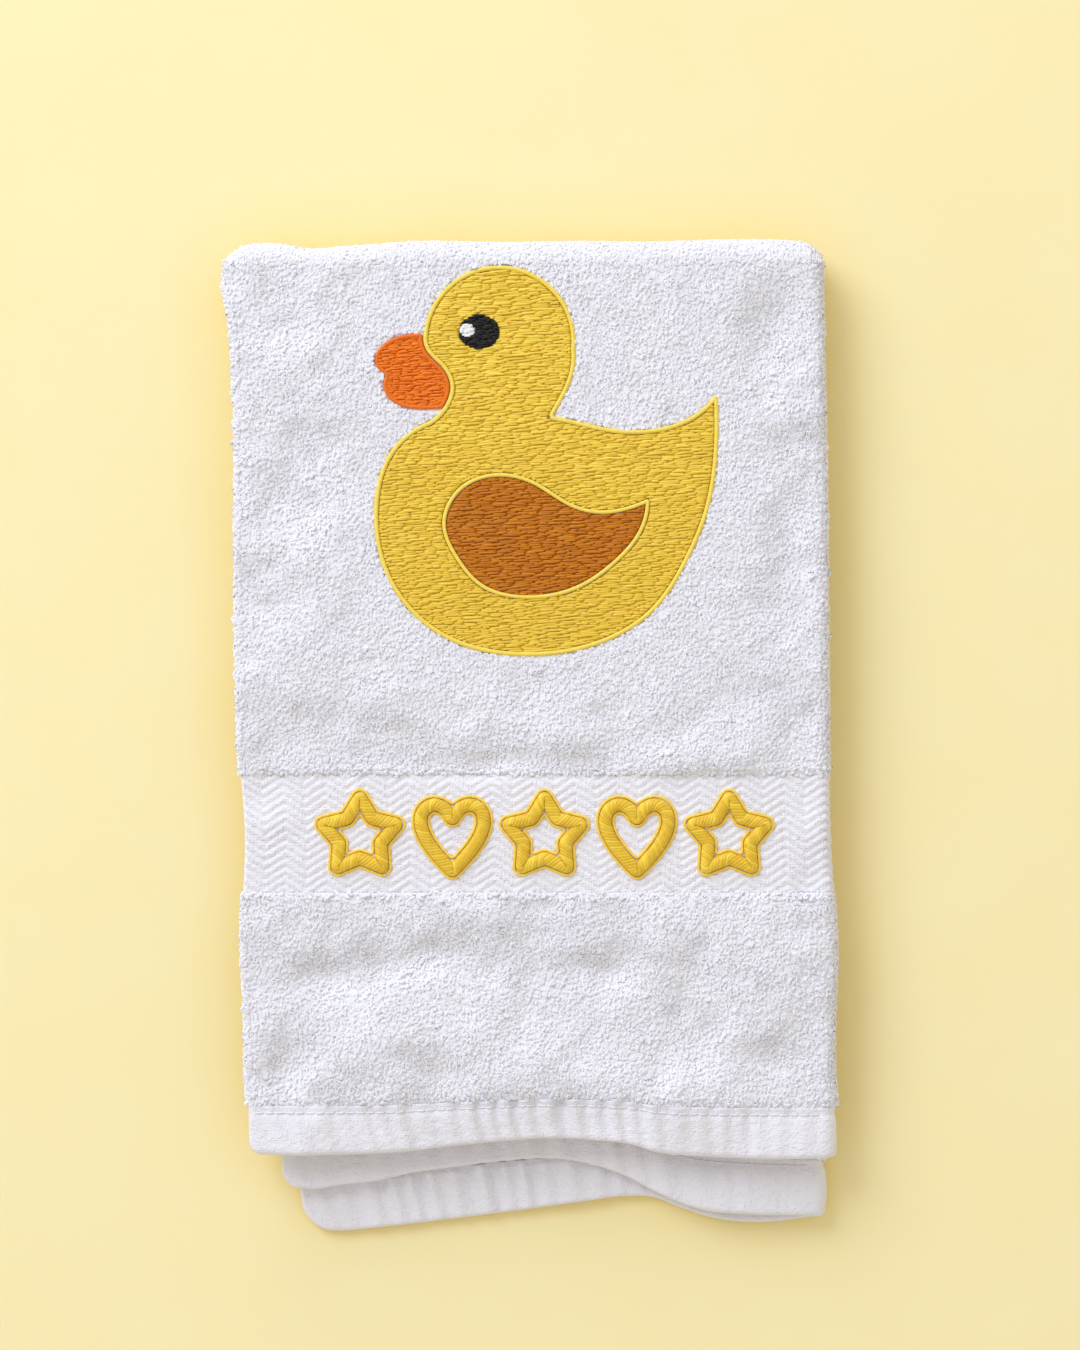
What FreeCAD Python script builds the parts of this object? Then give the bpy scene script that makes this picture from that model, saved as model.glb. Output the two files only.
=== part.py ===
import FreeCAD, Part
import math
import os

# Embroidered baby towel, folded in half lengthwise, then in half crosswise, lying flat.
# Millimetres. The origin is under the middle of the folded towel, on the surface it lies on:
# +Y runs to the crosswise fold, +X to the lengthwise fold, +Z up.
#
# Folded like this the towel has two leaves, front over back, and each leaf has two plies
# that are joined by the lengthwise fold. The face of the towel is the outside of each leaf.

V = FreeCAD.Vector
OUT = "parts"

# The plan below is drawn from the middle of the border's width. The origin is under the middle
# of the whole folded towel, which is this far to the left of it.
PLAN_SHIFT = V(2.95, 0, 0)

# Cloth thickness, and the air between the layers
TERRY_THICK = 4.0
PLY_GAP = 0.3
LEAF_GAP = 0.6
LEAF_THICK = 2 * TERRY_THICK + PLY_GAP
TOP = 2 * LEAF_THICK + LEAF_GAP

# Crosswise fold: how far the cloth stands out past the ends of the leaves. It is pressed a
# little thinner there, and its ends are rounded in plan. The leaf opens about FOLD_START.
CREASE_Y = 128.4
FOLD_REACH = 6.2
FOLD_START = CREASE_Y - FOLD_REACH
OUTER_FOLD_THICK = 3.2
FOLD_CLEAR = 0.2
CORNER_LEFT = 7.7
CORNER_RIGHT = 6.4

# Side edges: where they meet the crosswise fold
LEFT_TOP = -82.0
RIGHT_TOP = 73.3

# Each leaf: the height of its middle, the foot of its right edge, and for its upper and lower
# ply the x of the left edge's foot and the y of the hem line at the left and right edges.
LEAVES = {
    "front": {
        "mid": TOP - LEAF_THICK / 2,
        "right_foot": 76.3,
        "upper": {"left_foot": -76.5, "hem": (-106.6, -106.6)},
        "lower": {"left_foot": -76.5, "hem": (-106.6, -106.6)},
    },
    "back": {
        "mid": LEAF_THICK / 2,
        "right_foot": 72.5,
        "upper": {"left_foot": -68.5, "hem": (-116.0, -123.0)},
        "lower": {"left_foot": -63.5, "hem": (-128.4, -123.0)},
    },
}

# Woven zones, from the hem line up: start, end, half of the gap between the plies, half of
# the leaf's thickness, and how far the side edges are drawn in. A zone's ends slant from the
# left edge to the knee, which is this far from the right edge, and run straight from there.
HEM_DEPTH = 12.3
LOWER_TERRY_END = 66.7
BORDER_END = 97.0
TERRY_INNER = PLY_GAP / 2
TERRY_OUTER = LEAF_THICK / 2
BORDER_INNER = 0.55
BORDER_OUTER = 2.75
HEM_OUTER = 3.75
BORDER_INSET = 1.3
HEM_INSET = 1.8
KNEE = 6.0
ZONES = {
    "hem": (0, HEM_DEPTH, BORDER_INNER, HEM_OUTER, HEM_INSET),
    "lower_terry": (HEM_DEPTH, LOWER_TERRY_END, TERRY_INNER, TERRY_OUTER, 0),
    "border": (LOWER_TERRY_END, BORDER_END, BORDER_INNER, BORDER_OUTER, BORDER_INSET),
    "upper_terry": (BORDER_END, None, TERRY_INNER, TERRY_OUTER, 0),
}

# Side hems: the edge of each ply turned in and sewn down with one row of thread
SIDE_HEM_INSET = 2.2
SIDE_HEM_WIDTH = 6.0
SIDE_HEM_THICK = 1.0
SIDE_HEM_END_GAP = 0.6
SIDE_SEAM_INSET = 6.8
SEAM_WIDTH = 0.5
SIDE_SEAM_THICK = 0.12

# Hem seam, near the hem's inner edge
HEM_SEAM_START = 10.2
HEM_SEAM_THICK = 0.3

# Embroidery of the duck: it is sewn into the front leaf's upper ply and sits a little
# below the top of the pile.
DUCK_FLOOR = TOP - 1.8
FILL_THICK = 1.2
CORD_THICK = 1.5
CORD_WIDTH = 1.15
SEWN_GAP = 0.15
HOLE_GAP = 0.1
BACKING_THICK = 0.35
BACKING_MARGIN = 0.7
CURVE_STEP = 1.2
BOBBIN_THICK = 0.25

DUCK_HEAD_ARC = ((-29.7, 102.1), (-11.3, 120.6), (8.2, 99.4))
DUCK_NAPE = ((8.2, 99.4), (7.4, 92.2), (5.1, 87.1), (2.2, 82.0))
DUCK_BACK = ((2.2, 82.0), (8.5, 80.8), (15.9, 79.1), (25.7, 78.4), (36.4, 80.7), (44.9, 87.3))
DUCK_RUMP = ((44.9, 87.3), (45.0, 76.3), (41.8, 56.3), (37.4, 46.0), (28.2, 32.4))
DUCK_BELLY = ((28.2, 32.4), (18.7, 26.0), (-1.8, 21.4), (-25.9, 26.8), (-39.0, 41.2))
DUCK_CHEST = ((-39.0, 41.2), (-42.3, 57.8), (-39.8, 70.2), (-30.0, 80.0))
DUCK_THROAT = (
    (-30.0, 80.0), (-23.6, 86.1), (-22.7, 90.2), (-25.3, 95.7), (-28.5, 98.9), (-29.7, 102.1)
)
BEAK_UPPER = ((-27.6, 103.8), (-33.7, 103.6), (-38.7, 102.2), (-42.6, 98.2), (-39.9, 92.9))
BEAK_LOWER = ((-39.9, 92.9), (-40.5, 89.6), (-38.5, 86.4), (-33.7, 84.4), (-23.6, 84.6))
BEAK_ROOT = ((-23.6, 84.6), (-19.5, 88.0), (-22.0, 100.0), (-27.6, 103.8))
WING_TOP = ((27.4, 60.7), (22.6, 58.9), (15.6, 57.8), (7.7, 59.6), (-1.8, 65.3), (-12.3, 67.3))
WING_FRONT = ((-12.3, 67.3), (-21.0, 63.5), (-24.9, 54.8), (-21.5, 46.0), (-15.4, 39.1))
WING_BELLY = ((-15.4, 39.1), (-2.8, 36.0), (9.5, 38.6), (18.7, 44.8), (25.1, 52.2), (27.4, 60.7))
EYE_CENTRE = (-15.9, 104.1)
EYE_RADII = (5.1, 4.3)
GLINT_CENTRE = (-18.9, 104.5)
GLINT_RADII = (1.9, 1.7)

# Row of raised satin motifs on the front border
MOTIF_FLOOR = LEAVES["front"]["mid"] + BORDER_OUTER
MOTIF_COUNT = 5
MOTIF_PITCH = 23.7
MOTIF_FIRST_X = -46.5
MOTIF_Y = -25.4
MOTIF_STROKE = 4.8
STAR_POINTS = 5
STAR_RADIUS = 9.9
STAR_WAIST = 5.6
HEART_RIGHT = (
    (0, 4.6), (2.1, 7.3), (4.9, 8.2), (7.4, 6.6), (8.1, 3.3), (6.5, -1.0), (3.4, -5.2), (0, -8.8)
)


def save(name, shape):
    os.makedirs(OUT, exist_ok=True)
    shape.translate(PLAN_SHIFT)
    shape.exportStep(OUT + "/" + name + ".step")


def line(start, end, t):
    """The value a share t of the way from start to end."""
    return start + (end - start) * t


def left_x(leaf, ply, y):
    side = LEAVES[leaf][ply]
    return line(LEFT_TOP, side["left_foot"], (FOLD_START - y) / (FOLD_START - side["hem"][0]))


def right_x(leaf, y):
    side = LEAVES[leaf]
    return line(RIGHT_TOP, side["right_foot"], (FOLD_START - y) / (FOLD_START - side["upper"]["hem"][1]))


def heights(leaf, ply, inner, outer):
    """The z range of one ply, from half gap to half thickness about the leaf's middle."""
    mid = LEAVES[leaf]["mid"]
    return (mid + inner, mid + outer) if ply == "upper" else (mid - outer, mid - inner)


def prism(points, low, high):
    corners = [V(x, y, low) for x, y in points]
    face = Part.Face(Part.makePolygon(corners + corners[:1]))
    return face.extrude(V(0, 0, high - low))


def cross_line(leaf, ply, distance, inset, bend):
    """A line across one ply, from its left edge to the bend. No distance means its top end."""
    if distance is None:
        y_left, y_right = FOLD_START, FOLD_START
    else:
        y_left, y_right = [hem + distance for hem in LEAVES[leaf][ply]["hem"]]
    start = left_x(leaf, ply, y_left)
    knee = right_x(leaf, y_right) - KNEE
    share = inset / (knee - start)
    return [
        (line(start, knee, share), line(y_left, y_right, share)),
        (knee, y_right),
        (right_x(leaf, y_right) - inset - bend, y_right),
    ]


def limb(leaf, ply, start, end, inner, outer, inset, bend):
    """One ply of a zone, up to the middle of the bend at the lengthwise fold."""
    low = cross_line(leaf, ply, start, inset, bend)
    high = cross_line(leaf, ply, end, inset, bend)
    return prism(low + high[::-1], *heights(leaf, ply, inner, outer))


def bend_round(leaf, start, end, inner, outer, inset, bend):
    """The half ring of cloth that joins a zone's two plies at the lengthwise fold."""
    mid = LEAVES[leaf]["mid"]
    hem = LEAVES[leaf]["upper"]["hem"][1]
    low = hem + start
    high = FOLD_START if end is None else hem + end
    x = right_x(leaf, low) - inset - bend
    run = V(right_x(leaf, high) - right_x(leaf, low), high - low, 0)
    arcs = [
        Part.Arc(V(x, low, mid + r), V(x + r, low, mid), V(x, low, mid - r)).toShape()
        for r in (outer, inner)
    ]
    ends = [Part.makeLine(V(x, low, mid + s * inner), V(x, low, mid + s * outer)) for s in (1, -1)]
    ring = Part.Face(Part.Wire([ends[0], arcs[0], ends[1], arcs[1]]))
    return ring.extrude(run)


def folded_zone(leaf, start, end, inner, outer, inset, bend=None):
    """A woven zone of one leaf: two plies and the bend between them, as one solid."""
    bend = outer if bend is None else bend
    plies = [limb(leaf, ply, start, end, inner, outer, inset, bend) for ply in ("upper", "lower")]
    joined = bend_round(leaf, start, end, inner, outer, inset, bend).fuse(plies)
    return joined.removeSplitter()


def side_strip(leaf, ply, inset, width, inner, outer):
    """A narrow strip along a ply's left edge, from the end hem to the crosswise fold."""
    low = LEAVES[leaf][ply]["hem"][0] + HEM_DEPTH + SIDE_HEM_END_GAP
    high = FOLD_START - SIDE_HEM_END_GAP
    points = (
        (left_x(leaf, ply, low) + inset, low),
        (left_x(leaf, ply, low) + inset + width, low),
        (left_x(leaf, ply, high) + inset + width, high),
        (left_x(leaf, ply, high) + inset, high),
    )
    return prism(points, *heights(leaf, ply, inner, outer))


def side_hem(leaf, ply):
    inner = TERRY_INNER
    return side_strip(leaf, ply, SIDE_HEM_INSET, SIDE_HEM_WIDTH, inner, inner + SIDE_HEM_THICK)


def side_stitching(leaf):
    inner = TERRY_INNER - SIDE_SEAM_THICK
    rows = [
        side_strip(leaf, ply, SIDE_SEAM_INSET, SEAM_WIDTH, inner, TERRY_INNER)
        for ply in ("upper", "lower")
    ]
    return Part.makeCompound(rows)


def hem_stitching(leaf):
    """The row of thread on the face of the hem, round the lengthwise fold."""
    seam_outer = HEM_OUTER + HEM_SEAM_THICK
    seam_end = HEM_SEAM_START + SEAM_WIDTH
    return folded_zone(leaf, HEM_SEAM_START, seam_end, HEM_OUTER, seam_outer, HEM_INSET, HEM_OUTER)


def roll(half_height, reach):
    """A solid half roll round the crosswise fold, standing out by reach past the leaves."""
    width = RIGHT_TOP - LEFT_TOP
    shoulder = half_height - reach
    low = TOP / 2 - shoulder
    rolls = [
        Part.makeCylinder(reach, width, V(LEFT_TOP, FOLD_START, z), V(1, 0, 0))
        for z in (low, low + 2 * shoulder)
    ]
    whole = rolls[0]
    if shoulder > 0:
        core = Part.makeBox(width, reach, 2 * shoulder, V(LEFT_TOP, FOLD_START, low))
        whole = core.fuse(rolls).removeSplitter()
    return whole.common(Part.makeBox(width, reach, TOP, V(LEFT_TOP, FOLD_START, 0)))


def rounded_plan():
    """Everything that lies inside the two rounded corners at the crosswise fold."""
    depth = 2 * CORNER_LEFT
    block = Part.makeBox(RIGHT_TOP - LEFT_TOP, depth, TOP, V(LEFT_TOP, CREASE_Y - depth, 0))
    for x, radius in ((LEFT_TOP, CORNER_LEFT), (RIGHT_TOP, CORNER_RIGHT)):
        middle = V(x, CREASE_Y, TOP / 2)
        upright = [e for e in block.Edges if e.CenterOfMass.distanceToPoint(middle) < HOLE_GAP]
        block = block.makeFillet(radius, upright)
    return block


def outer_fold():
    """The outer cloth round the crosswise fold."""
    hollow = roll(TOP / 2 - TERRY_THICK, FOLD_REACH - OUTER_FOLD_THICK)
    return roll(TOP / 2, FOLD_REACH).cut(hollow).common(rounded_plan())


def inner_fold():
    """The inner cloth, nested in the outer one."""
    slit = LEAF_GAP / 2
    reach = FOLD_REACH - OUTER_FOLD_THICK - FOLD_CLEAR
    return roll(slit + TERRY_THICK, reach).cut(roll(slit, slit)).common(rounded_plan())


def smooth(points):
    """Closely spaced points on a smooth curve through the given ones."""
    spline = Part.BSplineCurve()
    spline.interpolate([V(x, y, 0) for x, y in points])
    return spline.discretize(Distance=CURVE_STEP)


def area_of(*runs):
    """A flat shape whose outline is the given runs of points, end to end."""
    outline = []
    for run in runs:
        outline += run[:-1]
    return Part.Face(Part.makePolygon(outline + outline[:1]))


def grown(face, distance):
    """A flat shape with its outline moved outwards, or inwards for a negative distance."""
    return Part.Face(face.OuterWire.makeOffset2D(distance))


def band(face, half_width):
    """A strip that follows a shape's outline, half on each side of it."""
    return grown(face, half_width).cut(grown(face, -half_width)).Faces[0]


def ellipse(centre, radii):
    curve = Part.Ellipse(V(centre[0], centre[1], 0), radii[0], radii[1])
    return area_of(curve.discretize(Distance=CURVE_STEP / 2))


def duck_shape():
    head = Part.Arc(*[V(x, y, 0) for x, y in DUCK_HEAD_ARC]).discretize(Distance=CURVE_STEP)
    flank = DUCK_RUMP + DUCK_BELLY[1:] + DUCK_CHEST[1:]
    return area_of(head, *[smooth(points) for points in (DUCK_NAPE, DUCK_BACK, flank, DUCK_THROAT)])


def beak_shape():
    """The beak, with its root under the face, where the duck's own outline cuts it off."""
    return area_of(smooth(BEAK_UPPER), smooth(BEAK_LOWER), [V(x, y, 0) for x, y in BEAK_ROOT])


def wing_shape():
    return area_of(smooth(WING_TOP + WING_FRONT[1:] + WING_BELLY[1:]))


def sewn(face, thick, floor=DUCK_FLOOR):
    """A layer of stitches over a flat shape, standing on the given floor."""
    lifted = face.copy()
    lifted.translate(V(0, 0, floor))
    return lifted.extrude(V(0, 0, thick))


def duck_parts():
    """Every stitched area of the duck, and the pocket in the pile that they lie in."""
    half = CORD_WIDTH / 2
    duck = duck_shape()
    wing = wing_shape()
    eye = ellipse(EYE_CENTRE, EYE_RADII)
    glint = ellipse(GLINT_CENTRE, GLINT_RADII)
    duck_outer = grown(duck, half)
    beak = beak_shape().cut(grown(duck_outer, HOLE_GAP))
    beak = max(beak.Faces, key=lambda face: face.Area)
    beak_fill = grown(beak, -half)
    holes = [grown(wing, half + HOLE_GAP), grown(eye, HOLE_GAP)]
    body = grown(duck, -half - HOLE_GAP)
    body = body.cut(holes).Faces[0]
    areas = {
        "duck_body": (body, FILL_THICK),
        "duck_outline": (band(duck, half), CORD_THICK),
        "duck_beak": (beak_fill, FILL_THICK),
        "duck_beak_outline": (beak.cut(grown(beak, -half + HOLE_GAP)), CORD_THICK),
        "duck_wing": (grown(wing, -half - HOLE_GAP), FILL_THICK),
        "duck_wing_outline": (band(wing, half), CORD_THICK),
        "duck_eye": (eye.cut(grown(glint, HOLE_GAP)).Faces[0], CORD_THICK),
        "duck_eye_highlight": (glint, CORD_THICK),
    }
    parts = {name: sewn(face, thick) for name, (face, thick) in areas.items()}
    pocket = sewn(grown(duck_outer, SEWN_GAP), TERRY_THICK)
    pocket = pocket.fuse(sewn(grown(beak, SEWN_GAP), TERRY_THICK))
    return parts, pocket, duck_outer


def star_line():
    step = math.pi / STAR_POINTS
    corners = []
    for i in range(2 * STAR_POINTS):
        radius = STAR_RADIUS if i % 2 == 0 else STAR_WAIST
        corners.append(V(radius * math.sin(i * step), radius * math.cos(i * step), 0))
    return Part.Face(Part.makePolygon(corners + corners[:1]))


def heart_line():
    left = tuple((-x, y) for x, y in reversed(HEART_RIGHT))
    return area_of(smooth(HEART_RIGHT), smooth(left))


def motif(index):
    """One raised satin motif, a star or a heart drawn with a single stroke."""
    line_shape = star_line() if index % 2 == 0 else heart_line()
    stroke = band(line_shape, MOTIF_STROKE / 2)
    stroke.translate(V(MOTIF_FIRST_X + MOTIF_PITCH * index, MOTIF_Y, 0))
    return sewn(stroke, TOP - MOTIF_FLOOR, MOTIF_FLOOR)


def motif_strip(margin):
    """The flat rectangle under the whole row of motifs."""
    half = STAR_RADIUS + MOTIF_STROKE / 2 + margin
    last = MOTIF_FIRST_X + MOTIF_PITCH * (MOTIF_COUNT - 1)
    low, high = MOTIF_FIRST_X - half, last + half
    return ((low, MOTIF_Y - half), (high, MOTIF_Y - half), (high, MOTIF_Y + half), (low, MOTIF_Y + half))


def build_leaf(leaf, cuts):
    """The woven zones, side hems and seams of one leaf. cuts are taken out of the zones."""
    hems = {ply: side_hem(leaf, ply) for ply in ("upper", "lower")}
    for name, dims in ZONES.items():
        zone = folded_zone(leaf, *dims).cut(list(hems.values()))
        if name in cuts:
            zone = zone.cut(cuts[name])
        save(leaf + "_" + name, zone)
    for ply, strip in hems.items():
        save(leaf + "_" + ply + "_side_hem", strip)
    save(leaf + "_side_hem_stitching", side_stitching(leaf))
    save(leaf + "_hem_stitching", hem_stitching(leaf))


def build_backings(duck_outer):
    """The stabiliser and bobbin thread behind the embroidery, inside the front leaf."""
    under = LEAVES["front"]["mid"] + TERRY_INNER
    patch = grown(duck_outer, BACKING_MARGIN)
    save("duck_bobbin_stitching", sewn(duck_outer, BOBBIN_THICK, under))
    save("duck_backing", sewn(patch, BACKING_THICK, under + BOBBIN_THICK))
    border_under = LEAVES["front"]["mid"] + BORDER_INNER - BACKING_THICK
    save("motif_backing", prism(motif_strip(0), border_under, border_under + BACKING_THICK))
    rows = [motif(i) for i in range(MOTIF_COUNT)]
    for row in rows:
        row.translate(V(0, 0, border_under - BOBBIN_THICK - MOTIF_FLOOR))
    slab = prism(motif_strip(1), border_under - BOBBIN_THICK, border_under)
    save("motif_bobbin_stitching", Part.makeCompound([row.common(slab) for row in rows]))
    return sewn(patch, BACKING_THICK + BOBBIN_THICK, under)


def main():
    parts, pocket, duck_outer = duck_parts()
    for name, shape in parts.items():
        save(name, shape)
    under_pocket = build_backings(duck_outer)
    for i in range(MOTIF_COUNT):
        save("border_motif_" + str(i + 1), motif(i))
    build_leaf("front", {"upper_terry": [pocket, under_pocket]})
    build_leaf("back", {})
    save("top_fold_outer", outer_fold())
    save("top_fold_inner", inner_fold())


main()
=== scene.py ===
import math

import bpy
import numpy as np
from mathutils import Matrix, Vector
from mathutils.geometry import tessellate_polygon


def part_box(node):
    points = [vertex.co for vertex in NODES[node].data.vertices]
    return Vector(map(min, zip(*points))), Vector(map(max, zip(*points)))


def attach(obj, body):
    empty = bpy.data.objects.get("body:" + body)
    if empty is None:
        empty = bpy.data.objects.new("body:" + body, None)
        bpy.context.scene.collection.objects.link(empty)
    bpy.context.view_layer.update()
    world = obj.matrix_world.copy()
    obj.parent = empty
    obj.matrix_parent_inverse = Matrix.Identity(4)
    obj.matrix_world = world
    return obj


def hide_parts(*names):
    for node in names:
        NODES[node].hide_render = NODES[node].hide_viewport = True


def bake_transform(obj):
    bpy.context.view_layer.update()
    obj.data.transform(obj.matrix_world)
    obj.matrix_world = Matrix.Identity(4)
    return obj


# A white terry baby towel, folded in half lengthwise and then crosswise, with an embroidered
# duck, a herringbone border with a row of raised satin motifs, and plain hems.
#
# Lengths are in millimetres until a mesh is made. Each leaf of the folded towel has an upper and
# a lower ply, joined by the lengthwise fold at its right edge. A place on a leaf is given by
# q, which runs 0-1 over the upper ply from the left edge, 1-2 round the lengthwise fold and 2-3
# back over the lower ply, and by d, the distance up the cloth from its hem line.

MM = 0.001
SEED = 41

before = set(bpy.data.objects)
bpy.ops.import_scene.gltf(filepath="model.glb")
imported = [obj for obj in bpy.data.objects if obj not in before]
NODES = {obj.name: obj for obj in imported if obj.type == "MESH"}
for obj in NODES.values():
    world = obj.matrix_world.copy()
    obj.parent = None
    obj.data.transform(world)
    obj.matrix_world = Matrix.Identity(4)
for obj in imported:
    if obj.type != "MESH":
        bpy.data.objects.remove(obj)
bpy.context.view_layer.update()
FRONT = "front_leaf"


def box(node):
    low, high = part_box(node)
    return np.array(low) / MM, np.array(high) / MM


def node_points(node):
    count = len(NODES[node].data.vertices)
    co = np.zeros(count * 3, np.float32)
    NODES[node].data.vertices.foreach_get("co", co)
    return co.reshape(-1, 3).astype(float) / MM


def unit(vectors):
    return vectors / (np.linalg.norm(vectors, axis=-1, keepdims=True) + 1e-9)


def ply_share(q):
    """How far q is across its ply from the left edge, as a share of the width."""
    return np.where(q <= 1, q, np.where(q >= 2, 3 - q, 1.0))


# ---- the folded towel's frame

TOP = box("top_fold_outer")[1][2]
MIDDLE = TOP / 2
FOLD_Y = box("front_upper_terry")[1][1]
FOLD_LEFT = box("top_fold_outer")[0][0]
FOLD_RIGHT = box("top_fold_outer")[1][0]
SIDE_INSET = 2.2
SIDE_WIDTH = 6.0
SIDE_GAP = 0.6

# How far each zone reaches from the hem line, and its cloth: the inner and outer face measured
# from the leaf's middle, and how far the side edges are drawn in.
HEM_TOP = 12.3
LOWER_TOP = 66.7
BORDER_TOP = 97.0
ZONES = {
    "hem": {"span": (0.0, HEM_TOP), "inner": 0.7, "outer": 3.5, "inset": 1.6},
    "lower_terry": {"span": (HEM_TOP, LOWER_TOP), "inner": 0.6, "outer": 3.15, "inset": 1.1},
    "border": {"span": (LOWER_TOP, BORDER_TOP), "inner": 0.6, "outer": 2.55, "inset": 1.3},
    "upper_terry": {"span": (BORDER_TOP, None), "inner": 0.6, "outer": 3.15, "inset": 1.1},
}

# The hem at the towel's back end is a little wider
BACK_HEM_TOP = 14.3
BACK_ZONES = {
    **ZONES,
    "hem": {**ZONES["hem"], "span": (0.0, BACK_HEM_TOP)},
    "lower_terry": {**ZONES["lower_terry"], "span": (BACK_HEM_TOP, LOWER_TOP)},
}

# How far each hem line stands in from a straight one, by share of its width from the left
HEM_WAVES = {
    "front": {
        "upper": ((0, -0.6), (0.18, -0.7), (0.28, 0.1), (0.34, 1.2), (0.41, 2.3), (0.52, 3.5),
                  (0.6, 3.0), (0.67, 1.8), (0.7, 0.4), (0.8, -1.2), (0.9, -1.8), (1, -1.7)),
        "lower": ((0, 0.4), (0.3, 1.4), (0.55, 4.0), (0.8, 0.2), (1, -1.2)),
    },
    "back": {
        "upper": ((0, -0.9), (0.06, -0.7), (0.11, 0.6), (0.18, 2.1), (0.24, 4.4), (0.32, 6.5),
                  (0.42, 8.9), (0.5, 10.1), (0.55, 9.9), (0.65, 6.4), (0.7, 3.0), (0.75, 0.4),
                  (0.79, -1.0), (0.87, -1.6), (1, -1.2)),
        "lower": ((0, -0.3), (0.08, -0.8), (0.17, -0.1), (0.3, 1.2), (0.43, 2.7), (0.55, 4.3),
                  (0.63, 5.2), (0.69, 4.6), (0.74, 1.8), (0.8, -1.0), (0.86, -2.6), (0.92, -3.0),
                  (1, -2.2)),
    },
}
WAVE_FADE = {"front": 15.0, "back": 26.0}

# Where the sides stand in from straight lines, as (y, reach, inwards), and how the crosswise
# fold wanders, by distance from the middle
LEFT_BENDS = ((117, 7, -1.3), (80, 32, 1.1), (-25, 14, 1.0), (-52, 12, -0.4))
RIGHT_BENDS = {
    "front": ((60, 70, -0.5), (-55, 21, -1.6), (-102, 16, -1.5)),
    "back": ((60, 70, -0.5), (-55, 21, -1.6), (-118, 15, -3.3)),
}
CREASE_WAVE = ((-77, -0.8), (-66, -0.4), (-58, -1.8), (-47, -1.0), (-32, 0.1), (0, 0.2), (40, 0.5),
               (65, 0.9), (77, 0.2))

# The underside of an upper ply sinks no further than this, so that it stays off the lower ply
MAX_SINK = 0.45


def smooth_through(points, x):
    """A smooth curve through given points, as y at each x."""
    px, py = np.array(points, float).T
    slope = np.gradient(py, px)
    i = np.clip(np.searchsorted(px, x) - 1, 0, len(px) - 2)
    step = px[i + 1] - px[i]
    t = np.clip((x - px[i]) / step, 0, 1)
    a, b = 2 * t**3 - 3 * t**2 + 1, t**3 - 2 * t**2 + t
    c, e = -2 * t**3 + 3 * t**2, t**3 - t**2
    return a * py[i] + b * step * slope[i] + c * py[i + 1] + e * step * slope[i + 1]


def make_leaf(name):
    """The straight lines of one leaf, read from its CAD nodes."""
    low, high = box(name + "_upper_terry")
    hem = node_points(name + "_hem")
    edge = hem[:, 0] > hem[:, 0].max() - 0.5
    leaf = {
        "name": name,
        "body": name + "_leaf",
        "zones": ZONES if name == "front" else BACK_ZONES,
        "mid": (low[2] + high[2]) / 2,
        "right_foot": hem[:, 0].max() + 1.8,
        "hem_right": hem[edge, 1].min(),
    }
    for ply in ("upper", "lower"):
        low, high = box(name + "_" + ply + "_side_hem")
        foot = high[0] - SIDE_INSET - SIDE_WIDTH
        slope = (low[0] - SIDE_INSET - foot) / (high[1] - low[1])
        hem_left = low[1] - SIDE_GAP - HEM_TOP
        leaf[ply] = {
            "left_top": foot + slope * (FOLD_Y - low[1]),
            "left_foot": foot + slope * (hem_left - low[1]),
            "hem_left": hem_left,
        }
    return leaf


LEAVES = {name: make_leaf(name) for name in ("front", "back")}


def hem_line(leaf, ply, share):
    return leaf[ply]["hem_left"] + (leaf["hem_right"] - leaf[ply]["hem_left"]) * share


def cloth_y(leaf, ply, share, d):
    wave = smooth_through(HEM_WAVES[leaf["name"]][ply], share)
    return hem_line(leaf, ply, share) + d + wave * np.exp(-d / WAVE_FADE[leaf["name"]])


def bends(places, y):
    return sum(inwards * np.exp(-(((y - at) / reach) ** 2)) for at, reach, inwards in places)


def left_x(leaf, ply, y):
    side = leaf[ply]
    share = (FOLD_Y - y) / (FOLD_Y - side["hem_left"])
    return side["left_top"] + (side["left_foot"] - side["left_top"]) * share + bends(LEFT_BENDS, y)


def right_x(leaf, y):
    share = (FOLD_Y - y) / (FOLD_Y - leaf["hem_right"])
    straight = FOLD_RIGHT + (leaf["right_foot"] - FOLD_RIGHT) * share
    return straight - bends(RIGHT_BENDS[leaf["name"]], y)


def wander(x, y, size, seed):
    """Smooth unevenness, mostly between -1 and 1, that changes over size millimetres."""
    grid = np.random.default_rng(seed).normal(0, 0.6, (64, 64))
    u, v = x / size, y / size
    i, j = np.floor(u).astype(int), np.floor(v).astype(int)
    a, b = ((part * part * (3 - 2 * part)) for part in (u - i, v - j))
    near = grid[i % 64, j % 64] * (1 - a) + grid[(i + 1) % 64, j % 64] * a
    far = grid[i % 64, (j + 1) % 64] * (1 - a) + grid[(i + 1) % 64, (j + 1) % 64] * a
    return near * (1 - b) + far * b


CALM = [(box(node), fade) for node, fade in (("duck_backing", 9.0), ("motif_backing", 4.0))]


def calm(x, y):
    """How far the swell is left free at a place: the embroidery holds the cloth flat."""
    held = np.zeros_like(x)
    for (low, high), fade in CALM:
        dx = np.maximum(np.maximum(low[0] - x, x - high[0]), 0)
        dy = np.maximum(np.maximum(low[1] - y, y - high[1]), 0)
        held = np.maximum(held, np.exp(-(dx**2 + dy**2) / fade**2))
    return 1 - held


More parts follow.
